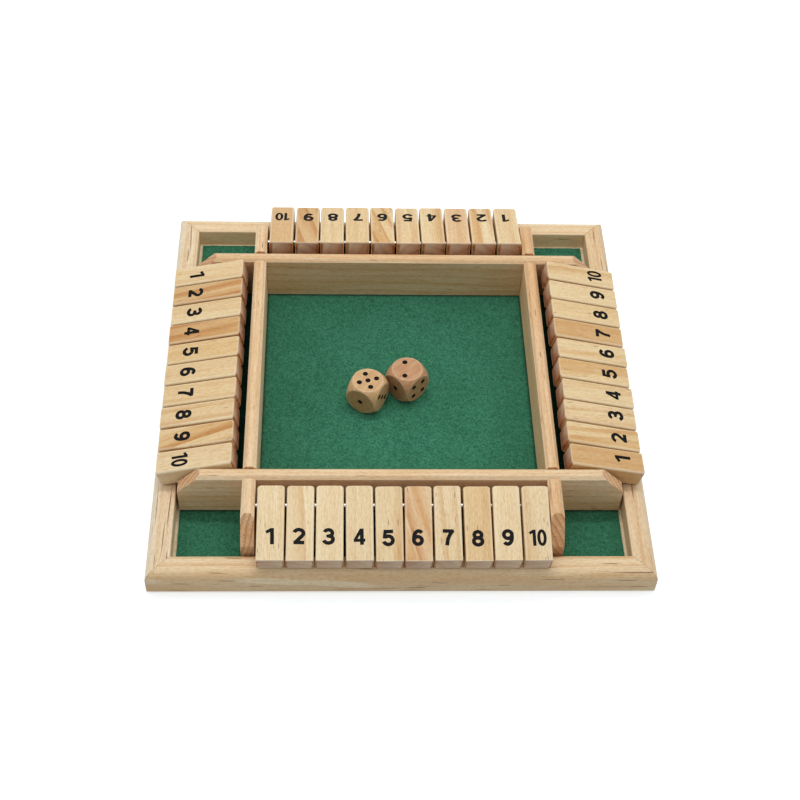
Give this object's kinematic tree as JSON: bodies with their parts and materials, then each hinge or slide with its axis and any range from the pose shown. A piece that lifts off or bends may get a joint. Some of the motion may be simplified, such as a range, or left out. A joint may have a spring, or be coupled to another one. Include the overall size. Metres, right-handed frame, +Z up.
{
  "type": "shut the box game",
  "caption": "Wooden tray game for several players: a mitred frame round a felt throwing tray, with a row of number tiles that flip over on a steel rod along each side, and dice.",
  "frame": {"origin": "centre of the square frame, in the plane of the rails' feet", "axes": "+Z up; +X to the right and -Y towards the player who sits at the front side"},
  "size_m": [0.23, 0.23, 0.0316],
  "materials": {
    "frame_pine": "sanded pine rails under a thin clear lacquer",
    "board_pine": "sanded pine boards under a thin clear lacquer",
    "tile_pine": "sanded pine, the tone changing from tile to tile",
    "base_plywood": "thin sanded plywood",
    "die_beech": "tumbled and lacquered beech, pips painted black",
    "felt": "short pressed wool-look felt, glued down",
    "rod_steel": "bright drawn wire"
  },
  "bodies": {
    "tray": {"base_panel": "base_plywood", "felt_lining": "felt", "front_rail": "frame_pine", "front_board": "board_pine", "front_hinge_rod": "rod_steel", "right_rail": "frame_pine", "right_board": "board_pine", "right_hinge_rod": "rod_steel", "back_rail": "frame_pine", "back_board": "board_pine", "back_hinge_rod": "rod_steel", "left_rail": "frame_pine", "left_board": "board_pine", "left_hinge_rod": "rod_steel"},
    "front_tile_1": {"front_tile_1": "tile_pine"},
    "front_tile_2": {"front_tile_2": "tile_pine"},
    "front_tile_3": {"front_tile_3": "tile_pine"},
    "front_tile_4": {"front_tile_4": "tile_pine"},
    "front_tile_5": {"front_tile_5": "tile_pine"},
    "front_tile_6": {"front_tile_6": "tile_pine"},
    "front_tile_7": {"front_tile_7": "tile_pine"},
    "front_tile_8": {"front_tile_8": "tile_pine"},
    "front_tile_9": {"front_tile_9": "tile_pine"},
    "front_tile_10": {"front_tile_10": "tile_pine"},
    "right_tile_1": {"right_tile_1": "tile_pine"},
    "right_tile_2": {"right_tile_2": "tile_pine"},
    "right_tile_3": {"right_tile_3": "tile_pine"},
    "right_tile_4": {"right_tile_4": "tile_pine"},
    "right_tile_5": {"right_tile_5": "tile_pine"},
    "right_tile_6": {"right_tile_6": "tile_pine"},
    "right_tile_7": {"right_tile_7": "tile_pine"},
    "right_tile_8": {"right_tile_8": "tile_pine"},
    "right_tile_9": {"right_tile_9": "tile_pine"},
    "right_tile_10": {"right_tile_10": "tile_pine"},
    "back_tile_1": {"back_tile_1": "tile_pine"},
    "back_tile_2": {"back_tile_2": "tile_pine"},
    "back_tile_3": {"back_tile_3": "tile_pine"},
    "back_tile_4": {"back_tile_4": "tile_pine"},
    "back_tile_5": {"back_tile_5": "tile_pine"},
    "back_tile_6": {"back_tile_6": "tile_pine"},
    "back_tile_7": {"back_tile_7": "tile_pine"},
    "back_tile_8": {"back_tile_8": "tile_pine"},
    "back_tile_9": {"back_tile_9": "tile_pine"},
    "back_tile_10": {"back_tile_10": "tile_pine"},
    "left_tile_1": {"left_tile_1": "tile_pine"},
    "left_tile_2": {"left_tile_2": "tile_pine"},
    "left_tile_3": {"left_tile_3": "tile_pine"},
    "left_tile_4": {"left_tile_4": "tile_pine"},
    "left_tile_5": {"left_tile_5": "tile_pine"},
    "left_tile_6": {"left_tile_6": "tile_pine"},
    "left_tile_7": {"left_tile_7": "tile_pine"},
    "left_tile_8": {"left_tile_8": "tile_pine"},
    "left_tile_9": {"left_tile_9": "tile_pine"},
    "left_tile_10": {"left_tile_10": "tile_pine"},
    "left_die": {"left_die": "die_beech"},
    "right_die": {"right_die": "die_beech"}
  },
  "joints": [
    {"name": "front_tile_1_flip", "type": "hinge", "parent": "tray", "child": "front_tile_1", "pos_m": [0, -0.0845, 0.025], "axis": [-1, 0, 0], "range_deg": [0, 152.5]},
    {"name": "front_tile_2_flip", "type": "hinge", "parent": "tray", "child": "front_tile_2", "pos_m": [0, -0.0845, 0.025], "axis": [-1, 0, 0], "range_deg": [0, 152.5]},
    {"name": "front_tile_3_flip", "type": "hinge", "parent": "tray", "child": "front_tile_3", "pos_m": [0, -0.0845, 0.025], "axis": [-1, 0, 0], "range_deg": [0, 152.5]},
    {"name": "front_tile_4_flip", "type": "hinge", "parent": "tray", "child": "front_tile_4", "pos_m": [0, -0.0845, 0.025], "axis": [-1, 0, 0], "range_deg": [0, 152.5]},
    {"name": "front_tile_5_flip", "type": "hinge", "parent": "tray", "child": "front_tile_5", "pos_m": [0, -0.0845, 0.025], "axis": [-1, 0, 0], "range_deg": [0, 152.5]},
    {"name": "front_tile_6_flip", "type": "hinge", "parent": "tray", "child": "front_tile_6", "pos_m": [0, -0.0845, 0.025], "axis": [-1, 0, 0], "range_deg": [0, 152.5]},
    {"name": "front_tile_7_flip", "type": "hinge", "parent": "tray", "child": "front_tile_7", "pos_m": [0, -0.0845, 0.025], "axis": [-1, 0, 0], "range_deg": [0, 152.5]},
    {"name": "front_tile_8_flip", "type": "hinge", "parent": "tray", "child": "front_tile_8", "pos_m": [0, -0.0845, 0.025], "axis": [-1, 0, 0], "range_deg": [0, 152.5]},
    {"name": "front_tile_9_flip", "type": "hinge", "parent": "tray", "child": "front_tile_9", "pos_m": [0, -0.0845, 0.025], "axis": [-1, 0, 0], "range_deg": [0, 152.5]},
    {"name": "front_tile_10_flip", "type": "hinge", "parent": "tray", "child": "front_tile_10", "pos_m": [0, -0.0845, 0.025], "axis": [-1, 0, 0], "range_deg": [0, 134]},
    {"name": "right_tile_1_flip", "type": "hinge", "parent": "tray", "child": "right_tile_1", "pos_m": [0.0845, 0, 0.025], "axis": [0, -1, 0], "range_deg": [0, 152.5]},
    {"name": "right_tile_2_flip", "type": "hinge", "parent": "tray", "child": "right_tile_2", "pos_m": [0.0845, 0, 0.025], "axis": [0, -1, 0], "range_deg": [0, 152.5]},
    {"name": "right_tile_3_flip", "type": "hinge", "parent": "tray", "child": "right_tile_3", "pos_m": [0.0845, 0, 0.025], "axis": [0, -1, 0], "range_deg": [0, 152.5]},
    {"name": "right_tile_4_flip", "type": "hinge", "parent": "tray", "child": "right_tile_4", "pos_m": [0.0845, 0, 0.025], "axis": [0, -1, 0], "range_deg": [0, 152.5]},
    {"name": "right_tile_5_flip", "type": "hinge", "parent": "tray", "child": "right_tile_5", "pos_m": [0.0845, 0, 0.025], "axis": [0, -1, 0], "range_deg": [0, 152.5]},
    {"name": "right_tile_6_flip", "type": "hinge", "parent": "tray", "child": "right_tile_6", "pos_m": [0.0845, 0, 0.025], "axis": [0, -1, 0], "range_deg": [0, 152.5]},
    {"name": "right_tile_7_flip", "type": "hinge", "parent": "tray", "child": "right_tile_7", "pos_m": [0.0845, 0, 0.025], "axis": [0, -1, 0], "range_deg": [0, 152.5]},
    {"name": "right_tile_8_flip", "type": "hinge", "parent": "tray", "child": "right_tile_8", "pos_m": [0.0845, 0, 0.025], "axis": [0, -1, 0], "range_deg": [0, 152.5]},
    {"name": "right_tile_9_flip", "type": "hinge", "parent": "tray", "child": "right_tile_9", "pos_m": [0.0845, 0, 0.025], "axis": [0, -1, 0], "range_deg": [0, 152.5]},
    {"name": "right_tile_10_flip", "type": "hinge", "parent": "tray", "child": "right_tile_10", "pos_m": [0.0845, 0, 0.025], "axis": [0, -1, 0], "range_deg": [0, 134]},
    {"name": "back_tile_1_flip", "type": "hinge", "parent": "tray", "child": "back_tile_1", "pos_m": [0, 0.0845, 0.025], "axis": [1, 0, 0], "range_deg": [0, 152.5]},
    {"name": "back_tile_2_flip", "type": "hinge", "parent": "tray", "child": "back_tile_2", "pos_m": [0, 0.0845, 0.025], "axis": [1, 0, 0], "range_deg": [0, 152.5]},
    {"name": "back_tile_3_flip", "type": "hinge", "parent": "tray", "child": "back_tile_3", "pos_m": [0, 0.0845, 0.025], "axis": [1, 0, 0], "range_deg": [0, 152.5]},
    {"name": "back_tile_4_flip", "type": "hinge", "parent": "tray", "child": "back_tile_4", "pos_m": [0, 0.0845, 0.025], "axis": [1, 0, 0], "range_deg": [0, 152.5]},
    {"name": "back_tile_5_flip", "type": "hinge", "parent": "tray", "child": "back_tile_5", "pos_m": [0, 0.0845, 0.025], "axis": [1, 0, 0], "range_deg": [0, 152.5]},
    {"name": "back_tile_6_flip", "type": "hinge", "parent": "tray", "child": "back_tile_6", "pos_m": [0, 0.0845, 0.025], "axis": [1, 0, 0], "range_deg": [0, 152.5]},
    {"name": "back_tile_7_flip", "type": "hinge", "parent": "tray", "child": "back_tile_7", "pos_m": [0, 0.0845, 0.025], "axis": [1, 0, 0], "range_deg": [0, 152.5]},
    {"name": "back_tile_8_flip", "type": "hinge", "parent": "tray", "child": "back_tile_8", "pos_m": [0, 0.0845, 0.025], "axis": [1, 0, 0], "range_deg": [0, 152.5]},
    {"name": "back_tile_9_flip", "type": "hinge", "parent": "tray", "child": "back_tile_9", "pos_m": [0, 0.0845, 0.025], "axis": [1, 0, 0], "range_deg": [0, 152.5]},
    {"name": "back_tile_10_flip", "type": "hinge", "parent": "tray", "child": "back_tile_10", "pos_m": [0, 0.0845, 0.025], "axis": [1, 0, 0], "range_deg": [0, 134]},
    {"name": "left_tile_1_flip", "type": "hinge", "parent": "tray", "child": "left_tile_1", "pos_m": [-0.0845, 0, 0.025], "axis": [0, 1, 0], "range_deg": [0, 152.5]},
    {"name": "left_tile_2_flip", "type": "hinge", "parent": "tray", "child": "left_tile_2", "pos_m": [-0.0845, 0, 0.025], "axis": [0, 1, 0], "range_deg": [0, 152.5]},
    {"name": "left_tile_3_flip", "type": "hinge", "parent": "tray", "child": "left_tile_3", "pos_m": [-0.0845, 0, 0.025], "axis": [0, 1, 0], "range_deg": [0, 152.5]},
    {"name": "left_tile_4_flip", "type": "hinge", "parent": "tray", "child": "left_tile_4", "pos_m": [-0.0845, 0, 0.025], "axis": [0, 1, 0], "range_deg": [0, 152.5]},
    {"name": "left_tile_5_flip", "type": "hinge", "parent": "tray", "child": "left_tile_5", "pos_m": [-0.0845, 0, 0.025], "axis": [0, 1, 0], "range_deg": [0, 152.5]},
    {"name": "left_tile_6_flip", "type": "hinge", "parent": "tray", "child": "left_tile_6", "pos_m": [-0.0845, 0, 0.025], "axis": [0, 1, 0], "range_deg": [0, 152.5]},
    {"name": "left_tile_7_flip", "type": "hinge", "parent": "tray", "child": "left_tile_7", "pos_m": [-0.0845, 0, 0.025], "axis": [0, 1, 0], "range_deg": [0, 152.5]},
    {"name": "left_tile_8_flip", "type": "hinge", "parent": "tray", "child": "left_tile_8", "pos_m": [-0.0845, 0, 0.025], "axis": [0, 1, 0], "range_deg": [0, 152.5]},
    {"name": "left_tile_9_flip", "type": "hinge", "parent": "tray", "child": "left_tile_9", "pos_m": [-0.0845, 0, 0.025], "axis": [0, 1, 0], "range_deg": [0, 152.5]},
    {"name": "left_tile_10_flip", "type": "hinge", "parent": "tray", "child": "left_tile_10", "pos_m": [-0.0845, 0, 0.025], "axis": [0, 1, 0], "range_deg": [0, 134]},
    {"name": "left_die_lift", "type": "slide", "parent": "tray", "child": "left_die", "axis": [0, 0, 1], "range_m": [0, 0.06]},
    {"name": "right_die_lift", "type": "slide", "parent": "tray", "child": "right_die", "axis": [0, 0, 1], "range_m": [0, 0.06]}
  ]
}
